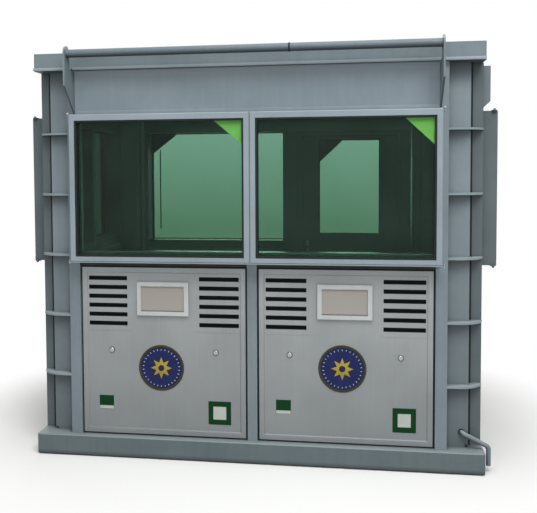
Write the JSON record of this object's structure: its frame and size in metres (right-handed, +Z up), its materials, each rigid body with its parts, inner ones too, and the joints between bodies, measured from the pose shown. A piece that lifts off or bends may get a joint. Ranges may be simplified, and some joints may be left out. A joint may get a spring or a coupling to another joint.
{
  "type": "security guard booth",
  "caption": "Steel guard booth with proud glazed windows on every side, louvred lower panels, stepped corners with curved ribs and a hinged rear door.",
  "frame": {"origin": "middle of the base frame's underside, on the ground", "axes": "+X across the front to the right, +Y from the front to the rear, +Z up"},
  "size_m": [2.87, 2.07, 2.5009],
  "materials": {
    "body_paint": "satin",
    "frame_paint": "satin",
    "panel_metal": "brushed",
    "hatch_white": "satin",
    "flap_beige": "matte",
    "lock_steel": "polished",
    "window_glass": "tinted green",
    "floor_sheet": "matte",
    "base_paint": "satin"
  },
  "bodies": {
    "booth": {"awning_cheeks": "body_paint", "awning_tube": "body_paint", "base_cross_rails": "base_paint", "base_end_rails": "base_paint", "corner_columns": "body_paint", "corner_pipe": "body_paint", "door_hinge_pins": "lock_steel", "door_threshold": "body_paint", "floor_plate": "floor_sheet", "front_corner_ribs": "body_paint", "front_fascia": "body_paint", "front_glass": "window_glass", "front_linings": "body_paint", "front_panels": "panel_metal", "front_posts": "body_paint", "front_sills": "body_paint", "front_window_frames": "frame_paint", "hatch_flaps": "flap_beige", "hatch_frames": "hatch_white", "left_panels": "panel_metal", "left_window_frames": "frame_paint", "panel_locks": "lock_steel", "rear_corner_ribs": "body_paint", "rear_door_posts": "body_paint", "rear_glass": "window_glass", "rear_header": "body_paint", "rear_lining": "body_paint", "rear_panel": "panel_metal", "rear_posts": "body_paint", "rear_sill": "body_paint", "rear_window_frame": "frame_paint", "right_panels": "panel_metal", "right_window_frames": "frame_paint", "roof_slab": "body_paint", "side_bracket": "body_paint", "side_glass": "window_glass", "side_headers": "body_paint", "side_linings": "body_paint", "side_posts": "body_paint", "side_sills": "body_paint"},
    "door": {"rear_door": "body_paint", "rear_door_glass": "window_glass", "door_hinge_sleeves": "lock_steel", "door_handles": "lock_steel"}
  },
  "joints": [
    {"name": "rear_door_swing", "type": "hinge", "parent": "booth", "child": "door", "pos_m": [0.975, 0.925, 1.1055], "axis": [0, 0, -1], "range_deg": [0, 100]}
  ]
}
